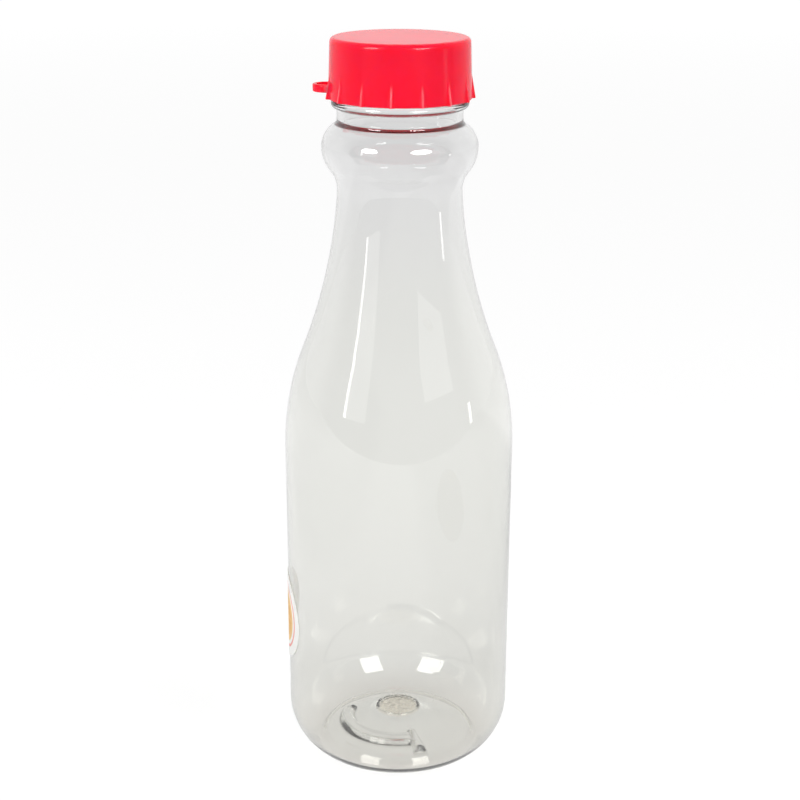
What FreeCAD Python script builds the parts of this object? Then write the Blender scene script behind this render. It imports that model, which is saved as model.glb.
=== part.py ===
"""A half-litre clear drink bottle with a red pull-ring cap and a round paper label.

The bottle is blown from a thick-necked preform: a standing foot, a pushed-up base with
raised ribs, a straight body, a long shoulder, a rounded bulb and a neck for a 38 mm cap.
Millimetres, +Z up, with the origin on the axis at the standing surface. The label and the
cap's pull ring are on the -X side.
"""
import FreeCAD, Part
import math
import os

import Sketcher
from FreeCAD import Placement, Rotation, Vector

SIZES = {
    # body and shoulder
    "body_radius": 34.6,            # where the shoulder starts
    "body_draft": 0.4,              # how much narrower the wall is where the heel starts
    "body_height": 99.0,            # standing surface to the start of the shoulder
    "shoulder_rise": 78.6,          # from there up to the waist under the bulb
    "shoulder_round": 82.8,         # outward curve at the top of the body
    "throat_round": 156.7,          # long inward curve
    "waist_round": 53.6,            # tighter inward curve just under the bulb
    "waist_radius": 18.4,
    # bulb and neck
    "bulb_rise": 12.0,              # waist to the bulb's widest line
    "bulb_radius": 22.8,
    "bulb_low_round": 10.3,
    "bulb_high_round": 8.0,
    "neck_radius": 18.3,
    "neck_rise": 29.9,              # bulb's widest line to the lip
    # heel, foot and pushed-up base
    "heel_round": 17.6,
    "heel_height": 15.0,
    "foot_round": 1.5,
    "foot_land": 0.6,               # flat ring that the bottle stands on
    "panel_inset": 1.8,             # foot's inner centre line to the edge of the base panel
    "panel_height": 3.7,
    "gate_radius": 5.8,             # flat disc at the centre of the base
    "gate_height": 10.0,
    "gate_step": 0.9,
    "gate_draft": 0.4,
    # walls
    "wall": 0.45,
    "base_wall": 0.8,
    "neck_wall": 2.0,
    # raised ribs on the base panel, with bearings from +X towards +Y
    "rib_rise": 0.8,
    "curved_rib_inner": 12.8,
    "curved_rib_outer": 16.4,
    "curved_rib_bearing": 223.0,
    "curved_rib_sweep": 112.0,
    "straight_rib_inner": 11.0,
    "straight_rib_outer": 21.5,
    "straight_rib_bearing": 285.0,
    "straight_rib_sweep": 8.0,
    # bead on the neck under the cap
    "bead_depth": 1.6,
    "bead_height": 2.4,
    "bead_gap": 0.2,                # cap's lower edge to the bead
    # cap
    "thread_room": 0.9,             # neck to the cap's inner wall
    "cap_wall": 0.95,               # at the top: the skirt thickens downwards
    "cap_flare": 0.55,
    "cap_top": 1.6,
    "cap_edge": 1.3,
    "skirt_depth": 15.7,            # lip to the cap's lower edge
    "fin_count": 15,
    "fin_height": 7.0,
    "fin_depth": 1.0,
    "fin_width": 2.8,
    "fin_tip": 0.5,
    "fin_bearing": -1.0,
    # pull ring on the cap
    "ring_bearing": 180.0,
    "ring_lift": 1.8,               # cap's lower edge to the ring's underside
    "ring_height": 2.2,
    "ring_radius": 4.0,
    "ring_band": 1.1,
    "ring_reach": 4.4,              # skirt's lower edge to the ring's far side
    "ring_root": 0.2,               # cap's inner wall to the ends of the ring
    # label
    "label_radius": 14.0,
    "label_height": 41.8,
    "label_bearing": 180.0,
    "label_thickness": 0.2,
    "label_gap": 0.05,              # the glue
    "label_margin": 1.0,            # spare height of the tube that the label is cut from
}

SHEET = "Sizes"
OUTPUT = "parts"
ORIGIN = -1                         # geometry numbers of the sketch's own origin and axis
UPRIGHT = -2
START, END, CENTRE = 1, 2, 3        # an edge's points, as Sketcher numbers them


# ---------------------------------------------------------------- sizes and plane geometry

class Size:
    """A number together with the sheet rule that gives it."""

    def __init__(self, value, rule):
        self.value = value
        self.rule = rule

    def __add__(self, other):
        return Size(self.value + other.value, f"{self.rule} + {other.rule}")

    def __sub__(self, other):
        return Size(self.value - other.value, f"{self.rule} - ({other.rule})")


NOTHING = Size(0.0, "0")


def size(name):
    """A driving dimension, with its rule."""
    return Size(float(sheet.get(name)), f"{SHEET}.{name}")


def gap(start, end):
    return math.hypot(end[0] - start[0], end[1] - start[1])


def bearing(start, end):
    """The angle of the way from one point to another, in degrees."""
    return math.degrees(math.atan2(end[1] - start[1], end[0] - start[0]))


def step(start, angle, length):
    """The point that lies a length away, at an angle in degrees."""
    turn = math.radians(angle)
    return start[0] + length * math.cos(turn), start[1] + length * math.sin(turn)


def circles_meet(first, first_radius, second, second_radius):
    """Where two circles meet, on the right-hand side going from the first to the second."""
    apart = gap(first, second)
    along = (apart ** 2 + first_radius ** 2 - second_radius ** 2) / (2 * apart)
    aside = math.degrees(math.acos(along / first_radius))
    return step(first, bearing(first, second) - aside, first_radius)


# ---------------------------------------------------------------- sketches

class Outline:
    """A closed outline in one sketch, drawn edge by edge, with its sizes bound to the sheet."""

    def __init__(self, body, name, plane, turn=NOTHING, lift=NOTHING):
        self.sketch = body.newObject("Sketcher::SketchObject", name)
        planes = body.Origin.OriginFeatures
        support = next(feature for feature in planes if feature.Role == plane)
        pivot = Vector(0, 1, 0) if plane == "XZ_Plane" else Vector(0, 0, 1)
        self.sketch.AttachmentSupport = (support, [""])
        self.sketch.MapMode = "FlatFace"
        self.sketch.AttachmentOffset = Placement(Vector(), Rotation(pivot, turn.value or 360))
        if turn is not NOTHING:
            self.sketch.setExpression("AttachmentOffset.Rotation.Angle", turn.rule)
        if lift is not NOTHING:
            self.sketch.setExpression("AttachmentOffset.Base.z", lift.rule)
        self.ends = []
        self.smooth = []

    def line(self, start, end):
        """A straight edge; returns its number."""
        self.ends.append((START, END))
        segment = Part.LineSegment(Vector(*start, 0), Vector(*end, 0))
        return self.sketch.addGeometry(segment, False)

    def arc(self, centre, radius, first, last):
        """A round edge between two angles; it runs clockwise where the last is the smaller."""
        self.ends.append((START, END) if last > first else (END, START))
        circle = Part.Circle(Vector(*centre, 0), Vector(0, 0, 1), radius)
        low, high = sorted((math.radians(first), math.radians(last)))
        return self.sketch.addGeometry(Part.ArcOfCircle(circle, low, high), False)

    def first(self, edge):
        """The point where the outline comes into an edge."""
        return edge, self.ends[edge][0]

    def last(self, edge):
        """The point where the outline leaves an edge."""
        return edge, self.ends[edge][1]

    def rule(self, kind, *where):
        self.sketch.addConstraint(Sketcher.Constraint(kind, *where))

    def bind(self, kind, *where, to):
        """A constraint that takes its value from the sheet."""
        number = self.sketch.addConstraint(Sketcher.Constraint(kind, *where, to.value))
        self.sketch.setExpression(f"Constraints[{number}]", to.rule)

    def across(self, point, to):
        """Binds the distance of a point from the upright axis."""
        self.bind("DistanceX", ORIGIN, START, *point, to=to)

    def up(self, point, to):
        """Binds the height of a point."""
        if to is NOTHING:
            self.rule("PointOnObject", *point, ORIGIN)
        else:
            self.bind("DistanceY", ORIGIN, START, *point, to=to)

    def radius(self, edge, to):
        self.bind("Radius", edge, to=to)

    def on_axis(self, point):
        self.rule("PointOnObject", *point, UPRIGHT)

    def level(self, *edges):
        for edge in edges:
            self.rule("Horizontal", edge)

    def upright(self, *edges):
        for edge in edges:
            self.rule("Vertical", edge)

    def beside_centre(self, point, edge):
        """Sets the end of a round edge level with its centre, so that it is upright there."""
        self.rule("Horizontal", *point, edge, CENTRE)

    def close(self):
        """Joins each edge to the next, smoothly after those in self.smooth."""
        for edge in range(len(self.ends)):
            kind = "Tangent" if edge in self.smooth else "Coincident"
            self.rule(kind, *self.last(edge), *self.first((edge + 1) % len(self.ends)))

    def measured(self, name, kind, *where):
        """A size that the outline takes by itself, for other sketches to use."""
        number = self.sketch.addConstraint(Sketcher.Constraint(kind, *where, 0.0))
        self.sketch.setDriving(number, False)
        self.sketch.renameConstraint(number, name)
        doc.recompute()
        value = self.sketch.Constraints[number].Value
        return Size(value, f"{self.sketch.Name}.Constraints.{name} / 1 mm")


def revolve(body, name, outline, kind="PartDesign::Revolution", sweep=None):
    """Turns an outline about the upright axis: all round, or half of the sweep to each side."""
    feature = body.newObject(kind, name)
    feature.Profile = outline.sketch
    feature.ReferenceAxis = (outline.sketch, ["V_Axis"])
    feature.Angle = 360
    if sweep is not None:
        feature.Midplane = True
        feature.setExpression("Angle", sweep.rule)
    return feature


# ---------------------------------------------------------------- heights along the axis

def waist_height():
    return size("body_height") + size("shoulder_rise")


def bulb_height():
    return waist_height() + size("bulb_rise")


def lip_height():
    return bulb_height() + size("neck_rise")


def skirt_height():
    return lip_height() - size("skirt_depth")


# ---------------------------------------------------------------- bottle

def draw_base(outline, skin, floor, heel):
    """Gate disc, panel and foot, from the axis out to the heel; returns the panel's number."""
    gate_across = size("gate_radius") + floor
    gate_up = size("gate_height") + floor
    panel_up = size("panel_height") + floor
    panel_inset = size("panel_inset") - floor
    foot_round = size("foot_round") - floor
    heel_round = size("heel_round") - skin

    foot_up = floor.value + foot_round.value
    foot_reach = math.sqrt((heel_round.value - foot_round.value) ** 2 - (heel[1] - foot_up) ** 2)
    outer_foot = (heel[0] + foot_reach, foot_up)
    inner_foot = (outer_foot[0] - size("foot_land").value, foot_up)
    gate = (gate_across.value, gate_up.value)
    panel_top = (gate[0] + size("gate_draft").value, gate[1] - size("gate_step").value)
    panel_edge = (inner_foot[0] - panel_inset.value, panel_up.value)
    fall = panel_top[1] - panel_edge[1]
    dome = (0.0, (math.hypot(*panel_top) ** 2 - math.hypot(*panel_edge) ** 2) / (2 * fall))
    side_turn = bearing(inner_foot, panel_edge)
    side_turn += math.degrees(math.acos(foot_round.value / gap(inner_foot, panel_edge)))
    side_foot = step(inner_foot, side_turn, foot_round.value)

    disc = outline.line((0.0, gate[1]), gate)
    draft = outline.line(gate, panel_top)
    panel = outline.arc(
        dome, gap(dome, panel_top), bearing(dome, panel_top), bearing(dome, panel_edge)
    )
    side = outline.line(panel_edge, side_foot)
    inner_turn = outline.arc(inner_foot, foot_round.value, side_turn, 270)
    stand = outline.line((inner_foot[0], floor.value), (outer_foot[0], floor.value))
    outer_turn = outline.arc(outer_foot, foot_round.value, -90, bearing(heel, outer_foot))
    heel_turn = outline.arc(
        heel, heel_round.value, bearing(heel, outer_foot), size("heel_height").value - heel[1]
    )

    outline.on_axis(outline.first(disc))
    outline.level(disc, stand)
    outline.across(outline.last(disc), gate_across)
    outline.up(outline.last(disc), gate_up)
    outline.bind("DistanceX", *outline.last(disc), *outline.last(draft), to=size("gate_draft"))
    outline.bind("DistanceY", *outline.last(draft), *outline.last(disc), to=size("gate_step"))
    outline.on_axis((panel, CENTRE))
    outline.up(outline.last(panel), panel_up)
    outline.bind("DistanceX", *outline.last(panel), inner_turn, CENTRE, to=panel_inset)
    outline.radius(inner_turn, foot_round)
    outline.bind("DistanceX", *outline.first(stand), *outline.last(stand), to=size("foot_land"))
    outline.up(outline.last(stand), floor)
    outline.radius(outer_turn, foot_round)
    outline.radius(heel_turn, heel_round)
    outline.smooth += (side, inner_turn, stand, outer_turn, heel_turn)
    return panel


def draw_side(outline, skin, floor):
    """From the base up the wall, shoulder and throat to the waist; returns the panel's number."""
    high_across = size("body_radius") - skin
    low_across = high_across - size("body_draft")
    waist_across = size("waist_radius") - skin
    shoulder_round = size("shoulder_round") - skin
    throat_round = size("throat_round") + skin
    waist_round = size("waist_round") + skin

    low = (low_across.value, size("heel_height").value)
    high = (high_across.value, size("body_height").value)
    inward = bearing(low, high) + 90
    heel = step(low, inward, size("heel_round").value - skin.value)
    shoulder = step(high, inward, shoulder_round.value)
    waist = (waist_across.value + waist_round.value, waist_height().value)
    throat = circles_meet(
        shoulder, shoulder_round.value + throat_round.value,
        waist, throat_round.value - waist_round.value,
    )

    panel = draw_base(outline, skin, floor, heel)
    wall = outline.line(low, high)
    shoulder_turn = outline.arc(
        shoulder, shoulder_round.value, bearing(shoulder, high), bearing(shoulder, throat)
    )
    throat_turn = outline.arc(
        throat, throat_round.value, bearing(throat, shoulder), bearing(throat, waist)
    )
    waist_turn = outline.arc(waist, waist_round.value, bearing(throat, waist), -180)

    outline.across(outline.first(wall), low_across)
    outline.up(outline.first(wall), size("heel_height"))
    outline.across(outline.last(wall), high_across)
    outline.up(outline.last(wall), size("body_height"))
    outline.radius(shoulder_turn, shoulder_round)
    outline.radius(throat_turn, throat_round)
    outline.radius(waist_turn, waist_round)
    outline.across(outline.last(waist_turn), waist_across)
    outline.up(outline.last(waist_turn), waist_height())
    outline.beside_centre(outline.last(waist_turn), waist_turn)
    outline.smooth += (wall, shoulder_turn, throat_turn, waist_turn)
    return panel


def draw_top(outline, skin, neck, top):
    """The bulb and the straight neck, then in to the axis at the top and back down it."""
    waist_across = size("waist_radius") - skin
    low_round = size("bulb_low_round") - skin
    high_round = size("bulb_high_round") - skin
    low_across = size("bulb_radius") - size("bulb_low_round")
    high_across = size("bulb_radius") - size("bulb_high_round")
    neck_across = size("neck_radius") - neck

    bulge = size("bulb_radius").value - size("waist_radius").value
    both_rounds = (bulge ** 2 + size("bulb_rise").value ** 2) / (2 * bulge)
    flare_round = both_rounds - low_round.value
    flare = (waist_across.value + flare_round, waist_height().value)
    low = (low_across.value, bulb_height().value)
    high = (high_across.value, bulb_height().value)
    crease_turn = math.degrees(math.acos((neck_across.value - high[0]) / high_round.value))
    crease = step(high, crease_turn, high_round.value)
    rim = (crease[0], top.value)

    flare_turn = outline.arc(flare, flare_round, 180, bearing(flare, low))
    low_turn = outline.arc(low, low_round.value, bearing(low, flare), 0)
    high_turn = outline.arc(high, high_round.value, 0, crease_turn)
    side = outline.line(crease, rim)
    mouth = outline.line(rim, (0.0, top.value))
    outline.line((0.0, top.value), (0.0, size("gate_height").value))

    outline.radius(low_turn, low_round)
    outline.across((low_turn, CENTRE), low_across)
    outline.up((low_turn, CENTRE), bulb_height())
    outline.beside_centre(outline.last(low_turn), low_turn)
    outline.radius(high_turn, high_round)
    outline.upright(side)
    outline.across(outline.first(side), neck_across)
    outline.level(mouth)
    outline.up(outline.last(mouth), top)
    outline.on_axis(outline.last(mouth))
    outline.smooth += (flare_turn, low_turn)


def bottle_outline(body, name, skin, floor, neck, top):
    """Half of the bottle's section, set in by its walls; returns it and the panel's number."""
    outline = Outline(body, name, "XZ_Plane")
    panel = draw_side(outline, skin, floor)
    draw_top(outline, skin, neck, top)
    outline.close()
    return outline, panel


def add_bead(body):
    """The rounded bead that holds the neck in the blowing mould, just under the cap."""
    top = skirt_height().value - size("bead_gap").value
    half = size("bead_height").value / 2
    root = size("neck_radius").value - size("neck_wall").value / 2
    centre = (size("neck_radius").value + size("bead_depth").value - half, top - half)

    outline = Outline(body, "bead_outline", "XZ_Plane")
    bottom_edge = outline.line((root, top - 2 * half), (centre[0], top - 2 * half))
    turn = outline.arc(centre, half, -90, 90)
    top_edge = outline.line((centre[0], top), (root, top))
    inner_edge = outline.line((root, top), (root, top - 2 * half))
    outline.level(bottom_edge, top_edge)
    outline.upright(inner_edge)
    half_height = Size(half, f"{SHEET}.bead_height / 2")
    half_wall = Size(size("neck_wall").value / 2, f"{SHEET}.neck_wall / 2")
    outline.radius(turn, half_height)
    outline.across((turn, CENTRE), size("neck_radius") + size("bead_depth") - half_height)
    outline.across(outline.first(inner_edge), size("neck_radius") - half_wall)
    outline.up(outline.first(inner_edge), skirt_height() - size("bead_gap"))
    outline.smooth += (bottom_edge, turn)
    outline.close()
    return revolve(body, "bead", outline)


def add_rib(body, name, dome_up, dome_round):
    """A raised rib that follows the base panel over a part of a turn."""
    inner = size(f"{name}_inner")
    outer = size(f"{name}_outer")
    low = dome_round - Size(size("base_wall").value / 2, f"{SHEET}.base_wall / 2")
    high = dome_round + size("rib_rise")
    centre = (0.0, dome_up.value)

    def on_dome(radius, reach):
        return reach.value, dome_up.value + math.sqrt(radius.value ** 2 - reach.value ** 2)

    low_inner, low_outer = on_dome(low, inner), on_dome(low, outer)
    high_inner, high_outer = on_dome(high, inner), on_dome(high, outer)
    outline = Outline(body, f"{name}_outline", "XZ_Plane", turn=size(f"{name}_bearing"))
    under = outline.arc(centre, low.value, bearing(centre, low_inner), bearing(centre, low_outer))
    outer_side = outline.line(low_outer, high_outer)
    crest = outline.arc(
        centre, high.value, bearing(centre, high_outer), bearing(centre, high_inner)
    )
    inner_side = outline.line(high_inner, low_inner)
    outline.on_axis((under, CENTRE))
    outline.up((under, CENTRE), dome_up)
    outline.rule("Coincident", under, CENTRE, crest, CENTRE)
    outline.radius(under, low)
    outline.radius(crest, high)
    outline.upright(outer_side, inner_side)
    outline.across(outline.first(outer_side), outer)
    outline.across(outline.first(inner_side), inner)
    outline.close()
    return revolve(body, name, outline, sweep=size(f"{name}_sweep"))


def make_bottle():
    body = doc.addObject("PartDesign::Body", "bottle")
    outside, _ = bottle_outline(body, "outside", NOTHING, NOTHING, NOTHING, lip_height())
    revolve(body, "blank", outside)
    inside, panel = bottle_outline(
        body, "inside", size("wall"), size("base_wall"), size("neck_wall"),
        lip_height() + size("neck_wall"),
    )
    dome_up = inside.measured("dome_up", "DistanceY", ORIGIN, START, panel, CENTRE)
    dome_round = inside.measured("dome_round", "Radius", panel)
    add_bead(body)
    revolve(body, "hollow", inside, kind="PartDesign::Groove")
    add_rib(body, "curved_rib", dome_up, dome_round)
    body.Tip = add_rib(body, "straight_rib", dome_up, dome_round)
    return body


# ---------------------------------------------------------------- cap

def cap_inner():
    return size("neck_radius") + size("thread_room")


def cap_low_radius():
    return cap_inner() + size("cap_wall") + size("cap_flare")


def add_shell(body):
    """The cap's round shell: a flat top, a soft edge and a skirt that widens downwards."""
    inner = cap_inner().value
    high = inner + size("cap_wall").value
    low = cap_low_radius().value
    top = lip_height().value + size("cap_top").value
    edge = size("cap_edge").value
    seat = lip_height().value
    hem = skirt_height().value

    outline = Outline(body, "cap_section", "XZ_Plane")
    hem_edge = outline.line((inner, hem), (low, hem))
    side = outline.line((low, hem), (high, top - edge))
    turn = outline.arc((high - edge, top - edge), edge, 0, 90)
    crown = outline.line((high - edge, top), (0.0, top))
    outline.line((0.0, top), (0.0, seat))
    seat_edge = outline.line((0.0, seat), (inner, seat))
    bore = outline.line((inner, seat), (inner, hem))
    outline.level(hem_edge, crown, seat_edge)
    outline.upright(bore)
    outline.across(outline.first(hem_edge), cap_inner())
    outline.up(outline.first(hem_edge), skirt_height())
    outline.across(outline.last(hem_edge), cap_low_radius())
    outline.across(outline.last(side), cap_inner() + size("cap_wall"))
    outline.radius(turn, size("cap_edge"))
    outline.up(outline.last(crown), lip_height() + size("cap_top"))
    outline.on_axis(outline.last(crown))
    outline.on_axis(outline.first(seat_edge))
    outline.up(outline.first(seat_edge), lip_height())
    outline.smooth += (side, turn)
    outline.close()
    return revolve(body, "shell", outline)


def fin_section(body, name, lift, reach, width):
    """A level slice of a fin: an upright-sided wedge that starts inside the skirt's wall."""
    root = cap_inner() + Size(size("cap_wall").value / 2, f"{SHEET}.cap_wall / 2")
    half_root = Size(width.value / 2, f"({width.rule}) / 2")
    half_tip = Size(size("fin_tip").value / 2, f"{SHEET}.fin_tip / 2")
    corners = (
        (root.value, -half_root.value), (reach.value, -half_tip.value),
        (reach.value, half_tip.value), (root.value, half_root.value),
    )
    outline = Outline(body, name, "XY_Plane", turn=size("fin_bearing"), lift=lift)
    edges = [outline.line(corners[n], corners[(n + 1) % 4]) for n in range(4)]
    outline.across(outline.first(edges[0]), root)
    outline.across(outline.first(edges[1]), reach)
    outline.rule("Symmetric", *outline.first(edges[1]), *outline.last(edges[1]), ORIGIN)
    outline.rule("Symmetric", *outline.last(edges[3]), *outline.first(edges[3]), ORIGIN)
    outline.up(outline.last(edges[1]), half_tip)
    outline.up(outline.first(edges[3]), half_root)
    outline.close()
    return outline.sketch


def add_fins(body):
    """Tapered fins all round the skirt, each lofted from its foot up to a point in the wall."""
    foot = fin_section(
        body, "fin_foot", skirt_height(), cap_low_radius() + size("fin_depth"), size("fin_width")
    )
    point = fin_section(
        body, "fin_point", skirt_height() + size("fin_height"), cap_inner() + size("cap_wall"),
        size("fin_tip"),
    )
    fin = body.newObject("PartDesign::AdditiveLoft", "fin")
    fin.Profile = foot
    fin.Sections = [point]
    fin.Ruled = True
    ring = body.newObject("PartDesign::PolarPattern", "fins")
    ring.Originals = [fin]
    ring.Axis = (next(axis for axis in body.Origin.OriginFeatures if axis.Role == "Z_Axis"), [""])
    ring.Angle = 360
    ring.setExpression("Occurrences", f"{SHEET}.fin_count")
    body.Tip = ring


def add_pull_ring(body):
    """The open loop that stands out from the skirt, to tear the cap off by."""
    root = cap_inner() + size("ring_root")
    centre = cap_low_radius() + size("ring_reach") - size("ring_radius")
    outer = size("ring_radius")
    inner = size("ring_radius") - size("ring_band")
    lift = skirt_height() + size("ring_lift")

    outline = Outline(body, "pull_ring_outline", "XY_Plane", turn=size("ring_bearing"), lift=lift)
    middle = (centre.value, 0.0)
    near = outline.line((root.value, -outer.value), (centre.value, -outer.value))
    outer_turn = outline.arc(middle, outer.value, -90, 90)
    far = outline.line((centre.value, outer.value), (root.value, outer.value))
    far_end = outline.line((root.value, outer.value), (root.value, inner.value))
    far_inner = outline.line((root.value, inner.value), (centre.value, inner.value))
    inner_turn = outline.arc(middle, inner.value, 90, -90)
    near_inner = outline.line((centre.value, -inner.value), (root.value, -inner.value))
    near_end = outline.line((root.value, -inner.value), (root.value, -outer.value))
    outline.level(near, far, far_inner, near_inner)
    outline.upright(far_end, near_end)
    outline.across((outer_turn, CENTRE), centre)
    outline.rule("PointOnObject", outer_turn, CENTRE, ORIGIN)
    outline.rule("Coincident", outer_turn, CENTRE, inner_turn, CENTRE)
    outline.radius(outer_turn, outer)
    outline.radius(inner_turn, inner)
    outline.across(outline.last(far), root)
    outline.across(outline.last(near_end), root)
    outline.smooth += (near, outer_turn, far_inner, inner_turn)
    outline.close()
    ring = body.newObject("PartDesign::Pad", "pull_ring")
    ring.Profile = outline.sketch
    ring.setExpression("Length", size("ring_height").rule)
    return ring


def make_cap():
    body = doc.addObject("PartDesign::Body", "cap")
    add_shell(body)
    add_fins(body)
    body.Tip = add_pull_ring(body)
    return body


# ---------------------------------------------------------------- label

def wall_cone(name, skin):
    """A cone that lies a skin's depth outside the body's wall, as high as the label needs."""
    def wall_radius(height):
        return (
            f"{SHEET}.body_radius - {SHEET}.body_draft * ({SHEET}.body_height - {height})"
            f" / ({SHEET}.body_height - {SHEET}.heel_height) + {skin}"
        )

    reach = f"({SHEET}.label_radius + {SHEET}.label_margin)"
    cone = doc.addObject("Part::Cone", name)
    cone.setExpression("Radius1", wall_radius(f"({SHEET}.label_height - {reach})"))
    cone.setExpression("Radius2", wall_radius(f"({SHEET}.label_height + {reach})"))
    cone.setExpression("Height", f"2 * {reach}")
    cone.setExpression("Placement.Base.z", f"{SHEET}.label_height - {reach}")
    return cone


def make_label():
    """A round paper label, curved with the wall that it is stuck on."""
    tube = doc.addObject("Part::Cut", "label_tube")
    tube.Base = wall_cone("label_face", f"{SHEET}.label_gap + {SHEET}.label_thickness")
    tube.Tool = wall_cone("label_back", f"{SHEET}.label_gap")
    punch = doc.addObject("Part::Cylinder", "label_punch")
    punch.Placement = Placement(Vector(), Rotation(Vector(0, 1, 0), 90))
    punch.setExpression("Radius", f"{SHEET}.label_radius")
    punch.setExpression("Height", f"2 * {SHEET}.body_radius")
    punch.setExpression("Placement.Base.z", f"{SHEET}.label_height")
    label = doc.addObject("Part::Common", "label")
    label.Base = tube
    label.Tool = punch
    label.Placement = Placement(Vector(), Rotation(Vector(0, 0, 1), size("label_bearing").value))
    label.setExpression("Placement.Rotation.Angle", f"{SHEET}.label_bearing")
    return label


# ---------------------------------------------------------------- document

def make_sheet():
    cells = doc.addObject("Spreadsheet::Sheet", SHEET)
    for row, (name, value) in enumerate(SIZES.items(), start=1):
        cells.set(f"A{row}", name)
        cells.set(f"B{row}", str(value))
        cells.setAlias(f"B{row}", name)
    doc.recompute()
    return cells


def check_document(nodes):
    """Stops on a failed object, or on a sub-part that isn't one sound solid."""
    for item in doc.Objects:
        if "Invalid" in item.State or "Error" in item.State:
            raise RuntimeError(f"{item.Name} failed: {item.State}")
    for node in nodes:
        shape = node.Shape
        if shape.isNull() or not shape.isValid() or len(shape.Solids) != 1:
            raise RuntimeError(f"{node.Label} is not one valid solid")


doc = FreeCAD.newDocument("drink_bottle")
sheet = make_sheet()
sub_parts = [make_bottle(), make_cap(), make_label()]
doc.recompute()
check_document(sub_parts)
os.makedirs(OUTPUT, exist_ok=True)
for node in sub_parts:
    node.Shape.exportStep(os.path.join(OUTPUT, f"{node.Label}.step"))
    print(f"{node.Label}: {node.Shape.Volume / 1000:.2f} cm3")
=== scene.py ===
"""Looks for a clear half-litre drink bottle with a red pull-ring cap and a round paper label.

The bottle, cap and label are each turned from an outline by Geometry Nodes, in place of their
CAD solids. Their sizes are in millimetres and degrees, as in the part, and become metres and
radians as a mesh is made. The studio's sizes are in metres.
"""
import math

import bpy
from mathutils import Matrix, Vector


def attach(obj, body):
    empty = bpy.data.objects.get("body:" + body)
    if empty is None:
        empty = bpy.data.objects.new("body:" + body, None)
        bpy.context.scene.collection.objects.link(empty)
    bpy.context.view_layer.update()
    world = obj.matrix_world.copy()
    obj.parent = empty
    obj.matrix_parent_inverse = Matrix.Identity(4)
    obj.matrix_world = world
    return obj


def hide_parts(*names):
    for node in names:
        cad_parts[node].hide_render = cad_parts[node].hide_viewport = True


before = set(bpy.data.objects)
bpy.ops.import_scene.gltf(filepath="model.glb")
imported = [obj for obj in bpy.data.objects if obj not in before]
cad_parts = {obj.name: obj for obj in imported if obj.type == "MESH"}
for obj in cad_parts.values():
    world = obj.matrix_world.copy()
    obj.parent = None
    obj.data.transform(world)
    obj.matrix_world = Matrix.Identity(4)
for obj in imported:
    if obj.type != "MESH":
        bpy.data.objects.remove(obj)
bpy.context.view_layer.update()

MM = 0.001
WELD = 2e-7                     # points nearer to each other than this become one, in metres
CORNER_SPACING = 0.3            # between points round a corner, as a share of its radius,
FINEST_SPACING = 0.05           # and never less than this
SHARP_ANGLE = 35.0              # an edge that turns by more than this stays sharp

# ---------------------------------------------------------------- the bottle's sizes

BODY_RADIUS = 34.6
BODY_DRAFT = 0.4                # how much narrower the wall is where the heel starts
BODY_HEIGHT = 99.0
HEEL_ROUND = 17.6
HEEL_HEIGHT = 15.0
BODY_TAPER = BODY_DRAFT / (BODY_HEIGHT - HEEL_HEIGHT)
SHOULDER_ROUND = 82.8
THROAT_ROUND = 156.7
WAIST_HEIGHT = 177.6
WAIST_RADIUS = 18.4
WAIST_ROUND = 53.6
BULB_HEIGHT = 189.6
BULB_RADIUS = 22.8
BULB_LOW_ROUND = 10.3
BULB_HIGH_ROUND = 8.0
CREASE_ROUND = 1.3              # where the bulb meets the neck
NECK_RADIUS = 18.3
LIP_HEIGHT = 219.5
LIP_ROUND = 0.4
BEAD_DEPTH = 1.6
BEAD_HEIGHT = 2.4
BEAD_TOP = 203.6
BEAD_ROUND = 1.15
UNDER_BEAD_ROUND = 0.3
OVER_BEAD_ROUND = 0.2

WALL = 0.45
BASE_WALL = 0.8
NECK_WALL = 2.0
BASE_WALL_REACH = 22.0          # the base's wall is even out to here,
BASE_WALL_FADE = 10.0           # and goes over to the heel's in this distance

# The panel is the hollow under the base, and the gate is the raised disc in its middle.
FOOT_ROUND = 1.5
FOOT_LAND = 0.6
PANEL_INSET = 1.8
PANEL_HEIGHT = 3.7              # at its outer edge
PANEL_BEND = 1.35               # one makes the panel a cone; more makes it flare outwards
PANEL_POINTS = 48
PANEL_REACH = 24.7              # the panel's bends are eased out to here, where the foot starts
PANEL_EASING = 36               # passes
GATE_RADIUS = 5.8
GATE_HEIGHT = 10.0
GATE_STEP = 0.9
GATE_DRAFT = 0.4
GATE_REACH = 10.0               # the gate's bends are eased out to here
GATE_EASING = 2                 # passes
GATE_INSIDE = 8.5               # the inner face has the gate's own outline out to here
BASE_TOP = 14.0                 # all of the panel and gate are below this
JOIN_GAP = 0.2                  # left between two outlines where one goes over to the other

RIBS = {                        # inner and outer radius, bearing, half of the sweep
    "Curved": (13.8, 18.6, 224.0, 63.0),
    "Straight": (12.5, 22.0, 289.0, 5.5),
}
RIB_MEASURES = ("inner", "outer", "bearing", "half sweep")
RIB_LIFT = 1.8
RIB_FLOOR = (3.0, 12.0)         # the ribs stand on the inner face between these heights
RIB_REACH = 24.0
UNEVEN_WALL = (20.0, 190.0)     # the wall is uneven between these heights
RIPPLE_RADIUS = 0.03            # the ripple is read round a circle of this size, in metres

# ---------------------------------------------------------------- cap's and label's sizes

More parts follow.
